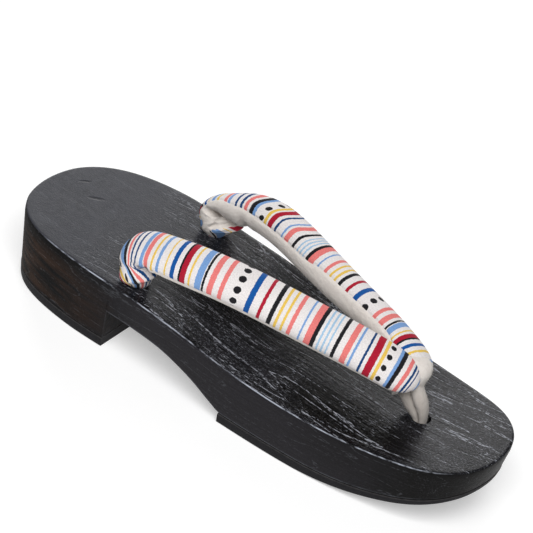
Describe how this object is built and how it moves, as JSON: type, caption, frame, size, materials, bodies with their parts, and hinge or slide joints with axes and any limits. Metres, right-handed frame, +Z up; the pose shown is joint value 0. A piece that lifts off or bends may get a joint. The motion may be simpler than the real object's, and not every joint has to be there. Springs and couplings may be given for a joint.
{
  "type": "geta sandal",
  "caption": "Low wooden geta sandal: black-stained oval board with a heel block and arch, thin rubber soles, padded striped thong straps.",
  "frame": {"origin": "on the floor, under the middle of the board", "axes": "+X towards the toe, +Y towards the far strap, +Z up"},
  "size_m": [0.24, 0.0816, 0.0663],
  "materials": {
    "wood": "black stained, brushed grain, satin",
    "rubber": "matte black",
    "striped_cotton": "plain woven cotton, white with blue, red, yellow and black bands, lined with cream flannel",
    "flannel": "soft napped cream flannel"
  },
  "bodies": {
    "root": {"dai": "wood", "heel_sole": "rubber", "forefoot_sole": "rubber", "straps": "striped_cotton", "toe_thong": "flannel"}
  },
  "joints": []
}
